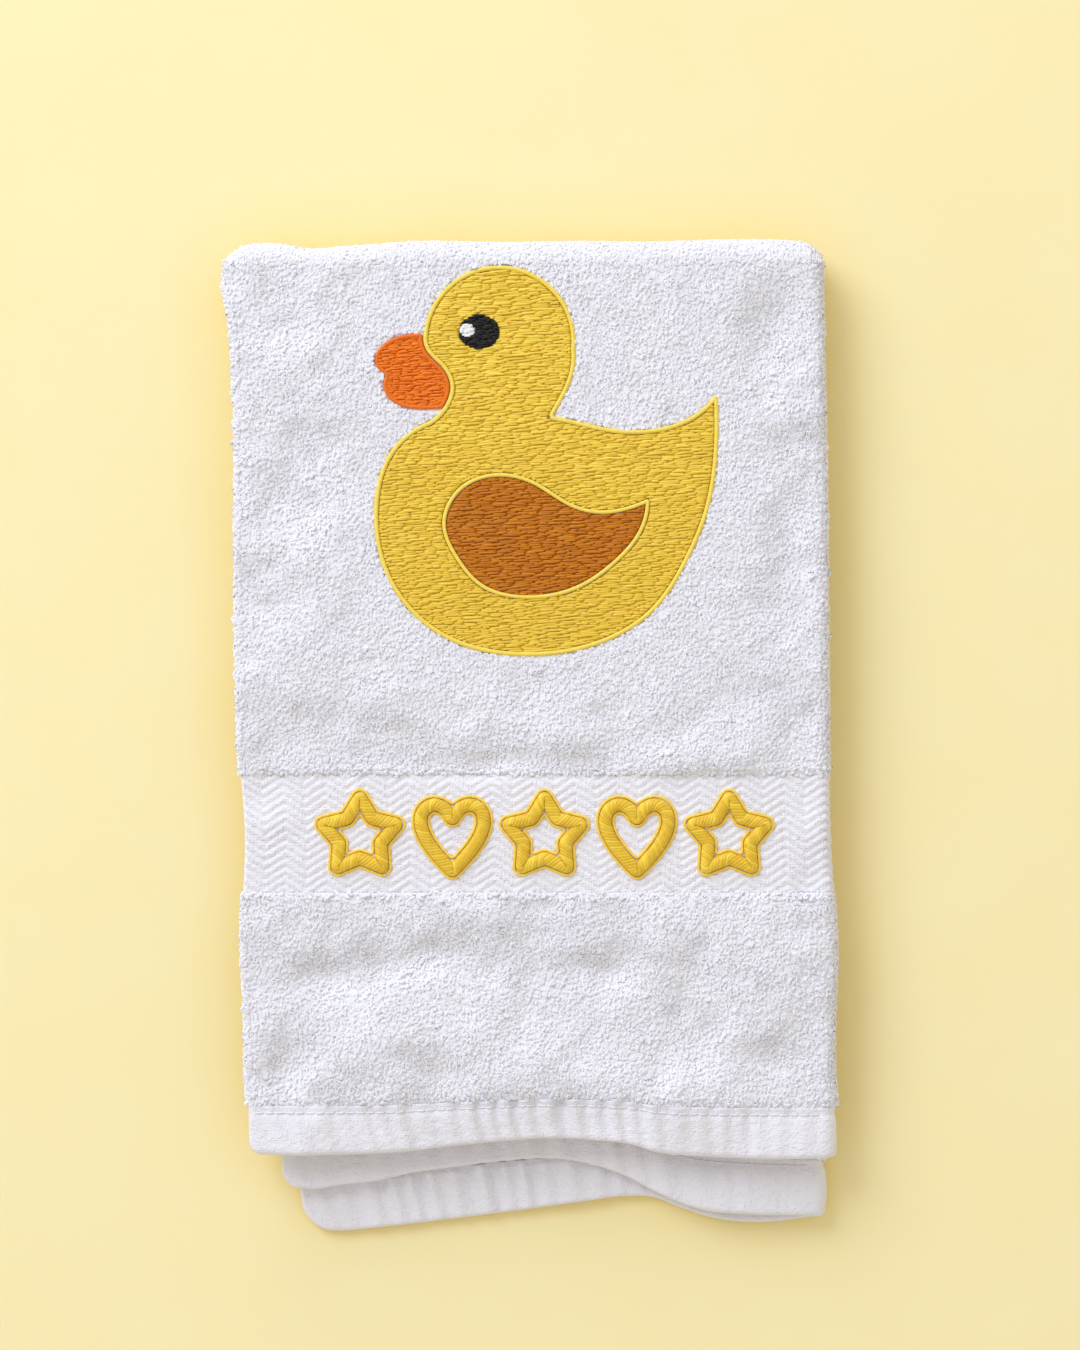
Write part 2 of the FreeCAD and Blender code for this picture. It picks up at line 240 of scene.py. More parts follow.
# Soft hollows and hills of each leaf's upper face, as (x, y, half width, half height, rise)
FRONT_HILLS = (
    (-52, -62, 12, 6, -2.5), (-26, -57, 13, 6, -2.4), (12, -60, 16, 6, -2.2),
    (-62, -84, 5, 11, -1.5), (44, -74, 10, 11, -1.6), (-22, -78, 16, 6, 1.2),
    (-6, -47, 12, 5, 0.8), (60, -56, 10, 10, 0.8), (30, -90, 14, 7, 0.9), (56, 104, 20, 11, -2.1),
    (64, 40, 9, 28, -1.3), (-60, 20, 9, 22, 0.7), (0, -8, 30, 6, -1.3), (42, -6, 18, 7, 1.0),
    (-50, 106, 16, 10, 0.7), (-4, -91, 26, 10, 1.5),
)
BACK_HILLS = ((47, -121, 16, 9, 1.5), (-58, -124, 24, 8, 2.3))
LOW_SWELL = 0.4


def with_hills(height, hills, x, y):
    for cx, cy, rx, ry, rise in hills:
        height = height + rise * np.exp(-((x - cx) / rx) ** 2 - ((y - cy) / ry) ** 2)
    return height


def swell(leaf, upper, x, y):
    """The soft unevenness of the cloth, as a change in height. The front face shows it most."""
    slow = 0.30 * np.sin(x / 13.0 + 0.6) * np.sin(y / 19.0 + 1.1)
    slow += 0.22 * np.sin(x / 7.3 - y / 11.0) + 0.16 * np.sin(x / 23.0 + y / 6.4 + 2.0)
    slow = slow + 0.3 * wander(x, y, 5.5, SEED) + 0.8 * wander(x, y, 12, SEED + 1)
    if upper and leaf["name"] == "front":
        return with_hills(slow, FRONT_HILLS, x, y) * calm(x, y)
    return LOW_SWELL * slow + (with_hills(0, BACK_HILLS, x, y) if upper else 0)


def on_leaf(leaf, zone, q, d, off):
    """Points off millimetres from the leaf's middle, and the outward directions there."""
    q, d, off = np.broadcast_arrays(np.asarray(q, float), d, off)
    outer = zone["outer"]
    turn = np.clip(q - 1, 0, 1)
    share = ply_share(q)
    reach = {}
    for ply in ("upper", "lower"):
        y = cloth_y(leaf, ply, share, d)
        left = left_x(leaf, ply, y) + zone["inset"]
        bend = right_x(leaf, y) - zone["inset"] - outer
        reach[ply] = (left + (bend - left) * share, y)
    angle = np.pi * (0.5 - turn)
    x = reach["upper"][0] * (1 - turn) + reach["lower"][0] * turn + off * np.cos(angle)
    y = reach["upper"][1] * (1 - turn) + reach["lower"][1] * turn
    rise = np.where(q < 1.5, swell(leaf, True, x, y), swell(leaf, False, x, y))
    rise = rise * np.abs(np.sin(angle))
    surface = np.clip((off - zone["inner"]) / (outer - zone["inner"]), 0, 1)
    sunk = np.where(q < 1.5, np.minimum(rise + MAX_SINK, 0), 0)
    z = leaf["mid"] + off * np.sin(angle) + rise - sunk * (1 - surface)
    out = np.stack([np.cos(angle), np.zeros_like(q), np.sin(angle)], -1)
    return np.stack([x, y, z], -1), out


def core(zone):
    """The middle of a zone's cloth, from the leaf's middle, and half its thickness."""
    return (zone["outer"] + zone["inner"]) / 2, (zone["outer"] - zone["inner"]) / 2


def zone_length(leaf, zone):
    """A zone's length up the middle of the leaf; the last zone stops at the fold."""
    start, end = zone["span"]
    return (end if end is not None else FOLD_Y - hem_line(leaf, "upper", 0.5)) - start


def zone_d(leaf, zone, q, v):
    """The distance from the hem at share v of a zone's length."""
    start, end = zone["span"]
    if end is not None:
        return start + (end - start) * v
    share = ply_share(q)
    upper = FOLD_Y - hem_line(leaf, "upper", share)
    lower = FOLD_Y - hem_line(leaf, "lower", share)
    end = np.where(q < 1.5, upper, lower)
    return start + (end - start) * v


# ---- meshes

def finished(mesh, material, body, node, replaces):
    """The piece made of a mesh: it takes the given material, and may stand for the node."""
    mesh.validate()
    mesh.materials.append(material)
    piece = bpy.data.objects.new(mesh.name, mesh)
    bpy.context.scene.collection.objects.link(piece)
    if body:
        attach(piece, body)
    if replaces:
        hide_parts(node)
    return piece


def add_piece(name, verts, quads, material, body, node, tone=None, replaces=True):
    """One mesh object from points in millimetres and four-sided faces."""
    mesh = bpy.data.meshes.new(name)
    verts = np.asarray(verts, float).reshape(-1, 3) * MM
    quads = np.asarray(quads, np.int32).reshape(-1, 4)
    mesh.vertices.add(len(verts))
    mesh.vertices.foreach_set("co", verts.astype(np.float32).ravel())
    mesh.loops.add(quads.size)
    mesh.loops.foreach_set("vertex_index", quads.ravel())
    mesh.polygons.add(len(quads))
    mesh.polygons.foreach_set("loop_start", np.arange(0, quads.size, 4, dtype=np.int32))
    mesh.polygons.foreach_set("use_smooth", np.ones(len(quads), bool))
    if tone is not None:
        layer = mesh.attributes.new("tone", "FLOAT", "POINT")
        layer.data.foreach_set("value", np.asarray(tone, np.float32).ravel())
    mesh.update()
    return finished(mesh, material, body, node, replaces)


def loop_quads(index, following):
    """Faces between rings of points and the rings after them."""
    beside = [np.roll(ring, -1, axis=-1) for ring in (following, index)]
    return np.stack([index, following, *beside], -1).reshape(-1, 4)


def grid_quads(index):
    """Faces between the rows of a grid of points."""
    quads = np.stack([index[:-1, :-1], index[:-1, 1:], index[1:, 1:], index[1:, :-1]], -1)
    return quads.reshape(-1, 4)


def thick_sheet(outer, inner):
    """A closed sheet from its outer and inner faces, both given as grids of points."""
    a = np.arange(outer[..., 0].size).reshape(outer.shape[:2])
    b = a + a.size
    rims = [(grid[0][::-1], grid[-1], grid[:, 0], grid[::-1, -1]) for grid in (a, b)]
    quads = [grid_quads(np.stack(rim)) for rim in zip(*rims)]
    quads = [grid_quads(a), grid_quads(b)[:, ::-1], *quads]
    return np.concatenate([outer.reshape(-1, 3), inner.reshape(-1, 3)]), np.concatenate(quads)


def end_caps(index):
    """Faces that close both ends of tubes; index is (tubes, rings, an even number of sides)."""
    fans = range(1, index.shape[2] - 2, 2)
    near = [index[:, 0][:, [0, k, k + 1, k + 2]] for k in fans]
    return near + [index[:, -1][:, [0, k + 2, k + 1, k]] for k in fans]


def tubes(paths, radii, sides, squash=1.0):
    """Round threads along many paths at once, each with an even number of sides."""
    paths = np.asarray(paths, float)
    threads, points = paths.shape[:2]
    radii = np.broadcast_to(radii, (threads, points))
    along = unit(np.gradient(paths, axis=1))
    up = np.array([0.13, 0.21, 0.97])
    across = unit(np.cross(along, up))
    rise = np.cross(across, along)
    turn = 2 * np.pi * np.arange(sides) / sides
    ring = np.cos(turn)[:, None] * across[:, :, None]
    ring = ring + squash * np.sin(turn)[:, None] * rise[:, :, None]
    verts = paths[:, :, None] + radii[:, :, None, None] * ring
    index = np.arange(threads * points * sides).reshape(threads, points, sides)
    walls = loop_quads(index[:, :-1], index[:, 1:])
    return verts.reshape(-1, 3), np.concatenate([walls, *end_caps(index)])


# ---- materials

def linear(colour):
    """A colour given as on screen, 0-255, in the linear values that shaders use."""
    parts = [((c / 255 + 0.055) / 1.055) ** 2.4 if c > 10 else c / 3295 for c in colour]
    return (*parts, 1)


def surface(tree):
    return tree.nodes["Principled BSDF"].inputs


def shader(name, roughness, specular, sheen=0.0):
    material = bpy.data.materials.new(name)
    material.use_nodes = True
    tree = material.node_tree
    surface(tree)["Roughness"].default_value = roughness
    surface(tree)["Specular IOR Level"].default_value = specular
    surface(tree)["Sheen Weight"].default_value = sheen
    return material, tree


def add_node(tree, kind, **values):
    node = tree.nodes.new(kind)
    for key, value in values.items():
        if key in node.inputs:
            node.inputs[key].default_value = value
        else:
            setattr(node, key, value)
    return node


def mixed_colour(tree, factor, *ends):
    """Two colours mixed by a factor; each end is a colour or another node's output."""
    mix = add_node(tree, "ShaderNodeMix", data_type="RGBA")
    tree.links.new(factor, mix.inputs[0])
    for socket, end in zip((s for s in mix.inputs if s.type == "RGBA"), ends):
        if isinstance(end, tuple):
            socket.default_value = linear(end)
        else:
            tree.links.new(end, socket)
    return next(s for s in mix.outputs if s.type == "RGBA")


def paint(tree, factor, *ends):
    tree.links.new(mixed_colour(tree, factor, *ends), surface(tree)["Base Color"])


def noise(tree, scale, detail=2.0, stretch=(1, 1, 1)):
    place = add_node(tree, "ShaderNodeTexCoord")
    mapping = add_node(tree, "ShaderNodeMapping")
    mapping.inputs["Scale"].default_value = stretch
    texture = add_node(tree, "ShaderNodeTexNoise", Scale=scale, Detail=detail)
    tree.links.new(place.outputs["Object"], mapping.inputs["Vector"])
    tree.links.new(mapping.outputs["Vector"], texture.inputs["Vector"])
    return texture.outputs[0]


def bump(tree, heights, depth):
    """Fine relief from one or more textures, depth in metres."""
    normal = None
    for height, share in heights:
        node = add_node(tree, "ShaderNodeBump", Distance=depth * share, Strength=1.0)
        tree.links.new(height, node.inputs["Height"])
        if normal is not None:
            tree.links.new(normal, node.inputs["Normal"])
        normal = node.outputs["Normal"]
    tree.links.new(normal, surface(tree)["Normal"])


# Depths of the finest relief in metres, and the wave texture's scale for one band a metre
FIBRE_DEPTH = 0.00012
WEAVE_DEPTH = 0.00009
THREAD_DEPTH = 0.00006
BANDS_PER_METRE = 0.314


def cotton(name, pale, deep, fibre=2600, sheen=0.25):
    """Matt cotton: fine fibres, a little unevenness in the white."""
    material, tree = shader(name, 0.92, 0.2, sheen)
    paint(tree, noise(tree, 55, 3), pale, deep)
    surface(tree)["Sheen Roughness"].default_value = 0.5
    bump(tree, [(noise(tree, fibre, 3), 1.0)], FIBRE_DEPTH)
    return material


def woven(name, pale, deep, pitch, ribs):
    """Flat cotton weave: two sets of threads that cross, pitch metres apart."""
    material, tree = shader(name, 0.85, 0.25, 0.2)
    paint(tree, noise(tree, 80, 4), pale, deep)
    place = add_node(tree, "ShaderNodeTexCoord")
    heights = []
    for direction in ("X", "Y"):
        wave = add_node(tree, "ShaderNodeTexWave", bands_direction=direction, Distortion=1.2,
                        Scale=BANDS_PER_METRE / pitch, Detail=1.0)
        tree.links.new(place.outputs["Object"], wave.inputs["Vector"])
        heights.append((wave.outputs["Fac"], ribs))
    heights += [(noise(tree, 1700, 3), 3.2), (noise(tree, 620, 3), 5.0)]
    bump(tree, heights, WEAVE_DEPTH)
    return material


def thread(name, bright, mid, stretch=(1, 1, 1), roughness=0.42):
    """Lustrous embroidery thread, its colour varying from stitch to stitch."""
    material, tree = shader(name, roughness, 0.35, 0.04)
    tone = add_node(tree, "ShaderNodeAttribute", attribute_name="tone").outputs["Fac"]
    by_stitch = mixed_colour(tree, tone, mid, bright)
    by_grain = mixed_colour(tree, noise(tree, 900, 2, stretch), mid, bright)
    paint(tree, tone, by_grain, by_stitch)
    bump(tree, [(noise(tree, 3200, 2, stretch), 1.0)], THREAD_DEPTH)
    return material


TERRY = cotton("terry_cotton", (249, 249, 254), (241, 241, 249))
BORDER = woven("border_cotton", (247, 246, 252), (238, 237, 245), 0.0007, 0.3)
HEM = woven("hem_cotton", (244, 243, 249), (234, 233, 241), 0.00062, 0.25)
SEAM = thread("seam_thread", (250, 250, 253), (232, 231, 238), roughness=0.7)
YELLOW = thread("duck_thread", (250, 220, 84), (226, 186, 44), (0.25, 1, 1))
OUTLINE = thread("outline_thread", (254, 232, 104), (244, 208, 66))
ORANGE = thread("beak_thread", (248, 134, 18), (228, 104, 2), (0.25, 1, 1))
ORANGE_EDGE = thread("beak_edge_thread", (244, 128, 20), (226, 98, 4))
AMBER = thread("wing_thread", (212, 132, 4), (180, 98, 0), (0.25, 1, 1))
BLACK = thread("eye_thread", (24, 23, 21), (8, 8, 8), roughness=0.55)
GLINT = thread("glint_thread", (250, 250, 252), (225, 225, 230), roughness=0.5)
GOLD = thread("motif_thread", (255, 224, 72), (218, 162, 10), roughness=0.32)
GOLD_EDGE = thread("motif_edge_thread", (255, 226, 92), (244, 196, 50), roughness=0.4)
BACKING = cotton("backing_fleece", (240, 240, 242), (226, 226, 230), 900, 0.05)


# ---- woven cloth

# The cloth of each zone, its flat size and the pieces on it
sheets = {}
ROUND_STEPS = 7
TURN_STEPS = 12


def edge_samples(length, step, rim):
    """Samples along a length, closer together at its rounded start, and the thickness there."""
    angle = np.linspace(np.pi / 16, np.pi / 2, ROUND_STEPS)[:-1]
    edge = rim * (1 - np.cos(angle)) / length
    flat = np.linspace(rim / length, 1, max(4, int(length / step)))
    return np.concatenate([edge, flat]), np.concatenate([np.sin(angle), np.ones(len(flat))])


def profile(width, step, rim):
    """The same right across a leaf, round its fold and back, as q and the thickness there."""
    upper, full = edge_samples(width, step, rim)
    turn = np.linspace(1, 2, TURN_STEPS)[1:-1]
    q = np.concatenate([upper, turn, 3 - upper[::-1]])
    return q, np.concatenate([full, np.ones(len(turn)), full[::-1]])


def herringbone(s, d):
    """Ribs of the dobby border: slanting floats that change direction column by column."""
    column_width, pitch, slant, height = 5.6, 2.3, 0.62, 0.55
    column = np.floor(s / column_width)
    place = s - column * column_width
    leaning = np.where(column % 2 == 0, place, column_width - place)
    phase = (d + slant * leaning) / pitch
    rib = np.abs(np.sin(np.pi * phase)) ** 0.7
    strand = 0.16 * np.sin(2 * np.pi * (s * 1.05 - d * 0.25 * (-1) ** column))
    seam = np.exp(-((place - column_width * (place > column_width / 2)) / 0.45) ** 2)
    return height * rib * (1 + strand) - 0.1 * seam


# The gathers of each hem: where along its width they are strongest and how far that reaches,
# their depth, the share of it that is left elsewhere, and how close together they are
SEAM_INSET = 1.8
GATHERS = {
    ("front", "upper"): (72.0, 36.0, 0.5, 0.3, 1.1),
    ("back", "upper"): (74.0, 40.0, 0.36, 0.35, 0.8),
    ("front", "lower"): (80.0, 50.0, 0.16, 0.5, 0.9),
    ("back", "lower"): (52.0, 34.0, 0.6, 0.3, 0.9),
}


def puckers(leaf, q, d):
    """Gathers across a hem, drawn up by its seam and strongest in one part of its width."""
    total = 0.0
    below = leaf["zones"]["hem"]["span"][1] - SEAM_INSET - d
    share = ply_share(q)
    s = share * (FOLD_RIGHT - FOLD_LEFT)
    for ply, held in (("upper", q < 1.5), ("lower", q >= 1.5)):
        middle, reach, depth, rest, rate = GATHERS[leaf["name"], ply]
        place = s - 0.2 * below + 0.12 * below * (s - middle) / reach
        wave = np.sin(place * rate + 1.1 * np.sin(place * 0.19))
        wave = wave + 0.4 * np.sin(place * 0.57 * rate + 2.0)
        strength = rest + np.exp(-(((s - middle) / reach) ** 2))
        total = total + held * depth * strength * wave
    near_seam = 0.6 + 0.8 * np.exp(-((below / 6.0) ** 2))
    tuck = -0.3 * np.exp(-((below / 0.8) ** 2))
    return total * near_seam, tuck


def relief(leaf, zone_name, q, s, d):
    """How far the cloth's outer and inner faces stand out from plain ones."""
    if zone_name == "border":
        return herringbone(s, d), 0 * s
    if zone_name == "hem":
        gathers, tuck = puckers(leaf, q, d)
        return gathers + tuck, np.where(q >= 1.5, gathers + tuck, 0)
    return 0.12 * np.sin(s * 1.9) * np.sin(d * 2.1), 0 * s


# The spacing of a cloth's points, and how far the embroidery presses it down
SHEET_STEPS = {"hem": 0.5, "border": 0.45, "lower_terry": 2.0, "upper_terry": 1.5}
PRESS = 0.9


def cloth_piece(leaf, zone_name, material, pressed=()):
    """The woven cloth of one zone: both plies and the fold between them, closed all round.
    The embroidery presses the cloth down within the pressed outlines."""
    zone = leaf["zones"][zone_name]
    step = SHEET_STEPS[zone_name]
    middle, rim = core(zone)
    width = FOLD_RIGHT - FOLD_LEFT
    q, side_full = profile(width, step, rim)
    length = zone_length(leaf, zone)
    rows = np.linspace(0, 1, max(4, int(length / step)))
    row_full = np.ones(len(rows))
    if zone_name == "hem":
        rows, row_full = edge_samples(length, step, rim)
    v, qq = np.meshgrid(rows, q, indexing="ij")
    full = np.minimum(row_full[:, None], side_full[None, :])
    d = zone_d(leaf, zone, qq, v)
    s = width * np.where(qq <= 1, qq, np.where(qq >= 2, qq - 1, 1 + 0.06 * (qq - 1)))
    raised, under = relief(leaf, zone_name, qq, s, d)
    outer = on_leaf(leaf, zone, qq, d, middle + (rim + raised) * full)[0]
    for outline in pressed:
        held = inside(outer.reshape(-1, 3), outline).reshape(qq.shape) & (qq < 1)
        outer[..., 2] -= PRESS * held
    inner = on_leaf(leaf, zone, qq, d, middle - (rim - under) * full)[0]
    if zone_name == "hem":
        outer, inner = [round_corners(leaf, grid, qq, d) for grid in (outer, inner)]
    name = leaf["name"] + "_" + zone_name
    verts, quads = thick_sheet(outer, inner)
    piece = add_piece(name + "_cloth", verts, quads, material, leaf["body"], name)
    sheets[name] = {"piece": piece, "flat": (2 * width * MM, length * MM), "with": []}


HEM_CORNERS = {"front": (3.4, 4.0), "back": (4.6, 8.0)}


def round_corners(leaf, grid, q, d):
    """Draws the outer corners of a hem in to a curve."""
    radius = np.where(q < 1.5, *HEM_CORNERS[leaf["name"]])
    share = ply_share(q)
    near = np.clip(1 - d / radius, 0, 1)
    shift = radius * (1 - np.sqrt(1 - near**2)) * np.clip(1 - share * 12, 0, 1)
    grid = grid.copy()
    grid[..., 0] += shift
    return grid


# ---- terry loops

# Fine loops are seen in the main view, plain ones are underneath or at the back
FINE_PITCH = 0.96
PLAIN_PITCH = 1.5
EDGE_PITCH = 1.2
FINE_YARN = 0.4
PLAIN_YARN = 0.42
LOOP_HEIGHT = 0.58
LOOP_REACH = 0.4
LOOP_LEAN = 0.45
LOOP_TIP = 0.7
LOOP_ROOT = 0.1
LOOP_SIDES = 4
MAX_TRIANGLES = 190000

# How far the loops' shading leans towards the cloth's, and how steep its slopes look from above
SOFTNESS = 0.68
EDGE_SOFTNESS = 0.25
SLOPE_SHADE = 3.2

# Loops this near the end of a zone, or of the crosswise fold, tip outwards
END_REACH = 1.6
END_TILT = 0.8
FOLD_END_REACH = 3
FOLD_END_TILT = 0.9


def loop_paths(base, out, rng, points):
    """Loops of yarn: each rises from the cloth, curls over and comes back down."""
    count = len(base)
    side = unit(np.cross(out, rng.normal(size=(count, 3))))
    other = np.cross(out, side)
    t = np.linspace(0, 1, points)
    wide = LOOP_REACH * rng.uniform(0.75, 1.3, count)[:, None]
    tall = LOOP_HEIGHT * rng.uniform(0.85, 1.15, count)[:, None]
    tip = LOOP_TIP * rng.normal(size=count)[:, None]
    curl = 1 + 0.35 * np.sin(np.pi * t)
    along = -wide * np.cos(np.pi * t) * curl
    rise = tall * np.sin(np.pi * t) ** 0.8 - 0.25
    over = tip * np.sin(np.pi * t) ** 2
    over = over + 0.35 * wide * (t - 0.5) * rng.choice([-1, 1], count)[:, None]
    return (
        base[:, None]
        + side[:, None] * along[..., None]
        + other[:, None] * over[..., None]
        + out[:, None] * rise[..., None]
    )


def soften(piece, round_normals, out, softness):
    """Light that passes between the loops: their shading leans towards that of the cloth."""
    facing = (round_normals * out).sum(axis=-1, keepdims=True)
    share = softness * np.clip((facing + 0.5) / 0.7, 0, 1)
    normals = unit(round_normals * (1 - share) + out * share)
    piece.data.normals_split_custom_set_from_vertices(normals.reshape(-1, 3).astype(np.float32))


def add_pile(node, end, base, out, rng, body, points=6, yarn=PLAIN_YARN, softness=SOFTNESS,
             lie=None):
    """Terry loops as one or more pieces, each under MAX_TRIANGLES triangles. Those on the
    crosswise fold have no body of their own. The shading leans towards lie, or towards out."""
    per_loop = (points - 1) * LOOP_SIDES * 2 + 2 * (LOOP_SIDES - 2)
    parts = max(1, math.ceil(len(base) * per_loop / MAX_TRIANGLES))
    name = node + "_pile" + end
    made = []
    for i, chosen in enumerate(np.array_split(np.arange(len(base)), parts)):
        paths = loop_paths(base[chosen], out[chosen], rng, points)
        taper = 0.75 + 0.25 * np.sin(np.pi * np.linspace(0, 1, points))
        radii = yarn * rng.uniform(0.85, 1.15, len(chosen))[:, None] * taper
        verts, quads = tubes(paths, radii, LOOP_SIDES)
        piece = add_piece(f"{name}_{i + 1}", verts, quads, TERRY, body, node, replaces=False)
        round_normals = verts.reshape(*paths.shape[:2], LOOP_SIDES, 3) - paths[:, :, None]
        cloth = (out if lie is None else lie)[chosen][:, None, None]
        soften(piece, round_normals / radii[..., None, None], cloth, softness)
        if body is None:
            blend_fold(piece)
        made.append(piece)
    return made


def scatter(width, length, rng, pitch):
    """Evenly spread places with a little disorder, as shares of the width and length."""
    rows = max(2, int(length / (pitch * 0.87)))
    columns = max(2, int(width / pitch))
    row, column = np.meshgrid(np.arange(rows), np.arange(columns), indexing="ij")
    across = (column + 0.25 + 0.5 * (row % 2) + rng.uniform(-0.33, 0.33, row.shape)) / columns
    up = (row + 0.5 + rng.uniform(-0.33, 0.33, row.shape)) / rows
    return across.ravel(), up.ravel()


def inside(points, outline):
    """Which points lie inside a closed outline, both in plan."""
    x, y = points[:, 0], points[:, 1]
    within = np.zeros(len(points), bool)
    ends = np.roll(outline, -1, axis=0)
    for (ax, ay), (bx, by) in zip(outline, ends):
        if ay != by:
            crosses = ((ay > y) != (by > y)) & (x < (bx - ax) * (y - ay) / (by - ay) + ax)
            within ^= crosses
    return within


def spread_ends(out, v, zone_name, length):
    """Loops at the ends of a zone lean out over the flatter cloth beside it."""
    near = END_REACH / length
    tilt = np.zeros(len(v))
    tilt[v < near] = -END_TILT
    if zone_name == "lower_terry":
        tilt[v > 1 - near] = END_TILT
    out = out.copy()
    out[:, 1] += tilt
    return unit(out)


def true_normals(leaf, zone, q, d):
    """The outward directions of a zone's outer face, its swell counted in."""
    steps = ((0, 0), (0.002, 0), (0, 0.3))
    here, across, up = [on_leaf(leaf, zone, q + dq, d + dd, zone["outer"])[0] for dq, dd in steps]
    return unit(np.cross(across - here, up - here))


FACES = {"upper": (0.0, 1.0), "turn": (1.0, 2.0), "lower": (2.0, 3.0)}


def face_pile(leaf, zone_name, face, rng, clear=(), pitch=PLAIN_PITCH, **shape):
    """Loops over one face of a terry zone: an upper ply, a lower ply, or the fold between."""
    zone = leaf["zones"][zone_name]
    length = zone_length(leaf, zone)
    width = np.pi * zone["outer"] if face == "turn" else FOLD_RIGHT - FOLD_LEFT - zone["outer"]
    across, v = scatter(width, length, rng, pitch)
    low, high = FACES[face]
    q = low + (high - low) * np.clip(across, 0.004, 0.999)
    d = zone_d(leaf, zone, q, v)
    base = on_leaf(leaf, zone, q, d, zone["outer"] - LOOP_ROOT)[0]
    out = true_normals(leaf, zone, q, d)
    keep = np.ones(len(base), bool)
    for outline in clear:
        keep &= ~inside(base[:, :2], outline)
    lie = out[keep]
    if face == "upper":
        lie[:, :2] *= SLOPE_SHADE
    out = spread_ends(out, v, zone_name, length)
    out[:, :2] += LOOP_LEAN * np.stack([wander(*base[:, :2].T, 3.5, SEED + i) for i in (2, 3)], -1)
    out = unit(out)
    lie = unit(lie + 0.9 * out[keep])
    node = leaf["name"] + "_" + zone_name
    return add_pile(node, "_" + face, base[keep], out[keep], rng, leaf["body"], lie=lie, **shape)


def edge_pile(leaf, zone_name, ply, rng):
    """Loops round the open left edge of one ply."""
    zone = leaf["zones"][zone_name]
    middle, rim = core(zone)
    rows = int(zone_length(leaf, zone) / EDGE_PITCH)
    angles = np.radians(np.arange(-80, 81, 32))
    v, angle = np.meshgrid((np.arange(rows) + 0.5) / rows, angles, indexing="ij")
    v = (v + rng.uniform(-0.4, 0.4, v.shape) / rows).ravel()
    angle = (angle + rng.uniform(-0.2, 0.2, angle.shape)).ravel()
    q = np.full(len(v), 0.0 if ply == "upper" else 3.0)
    d = zone_d(leaf, zone, q, v)
    base, out = on_leaf(leaf, zone, q, d, middle)
    side = np.array([-1.0, 0.0, 0.0])
    out = side * np.cos(angle)[:, None] + out * np.sin(angle)[:, None]
    base = base + np.array([rim, 0, 0]) + out * (rim - LOOP_ROOT)
    node = leaf["name"] + "_" + zone_name
    return add_pile(node, "_edge_" + ply, base, out, rng, leaf["body"], yarn=FINE_YARN,
                    softness=EDGE_SOFTNESS)


# ---- outlines and threads

def top_outlines(node):
    """The closed outlines of a flat-topped node's upper face, the longest first, in plan."""
    points = node_points(node)
    mesh = NODES[node].data
    mesh.calc_loop_triangles()
    triangles = np.zeros(len(mesh.loop_triangles) * 3, np.int32)
    mesh.loop_triangles.foreach_get("vertices", triangles)
    triangles = triangles.reshape(-1, 3)
    on_top = (points[:, 2] > points[:, 2].max() - 0.01)[triangles].all(axis=1)
    edges = set()
    for a, b, c in triangles[on_top].tolist():
        edges |= {(a, b), (b, c), (c, a)}
    follow = {a: b for a, b in sorted(edges) if (b, a) not in edges}
    outlines = []
    while follow:
        start, here = follow.popitem()
        chain = [start]
        while here != start:
            chain.append(here)
            here = follow.pop(here)
        outlines.append(points[chain, :2])
    return sorted(outlines, key=lambda line: -length_of(line))


def length_of(line):
    return np.linalg.norm(line - np.roll(line, 1, axis=0), axis=1).sum()


def smoothed(line, rounds):
    for _ in range(rounds):
        line = (np.roll(line, 1, axis=0) + 2 * line + np.roll(line, -1, axis=0)) / 4
    return line


def evened(line, step, rounds=0):
    """A closed line with evenly spaced points, smoothed a number of rounds."""
    closed = np.concatenate([line, line[:1]])
    along = np.concatenate([[0], np.cumsum(np.linalg.norm(np.diff(closed, axis=0), axis=1))])
    places = np.linspace(0, along[-1], max(8, round(along[-1] / step)) + 1)[:-1]
    even = np.stack([np.interp(places, along, closed[:, i]) for i in range(2)], -1)
    return smoothed(even, rounds)


def normals_of(line):
    """The directions to the right of a closed line: outward, where it runs anticlockwise."""
    along = unit(np.roll(line, -1, axis=0) - np.roll(line, 1, axis=0))
    return np.stack([along[:, 1], -along[:, 0]], -1)


def moved(line, distance):
    return line + normals_of(line) * distance


def spans(outlines, y):
    """Where a horizontal line at y lies inside the outlines, as pairs of x."""
    crossings = []
    for line in outlines:
        ends = np.roll(line, -1, axis=0)
        hit = (line[:, 1] > y) != (ends[:, 1] > y)
        a, b = line[hit], ends[hit]
        crossings += list(a[:, 0] + (b[:, 0] - a[:, 0]) * (y - a[:, 1]) / (b[:, 1] - a[:, 1]))
    crossings.sort()
    return list(zip(crossings[::2], crossings[1::2]))


STITCH_SLOPE = 0.05
STITCH_POINTS = 7


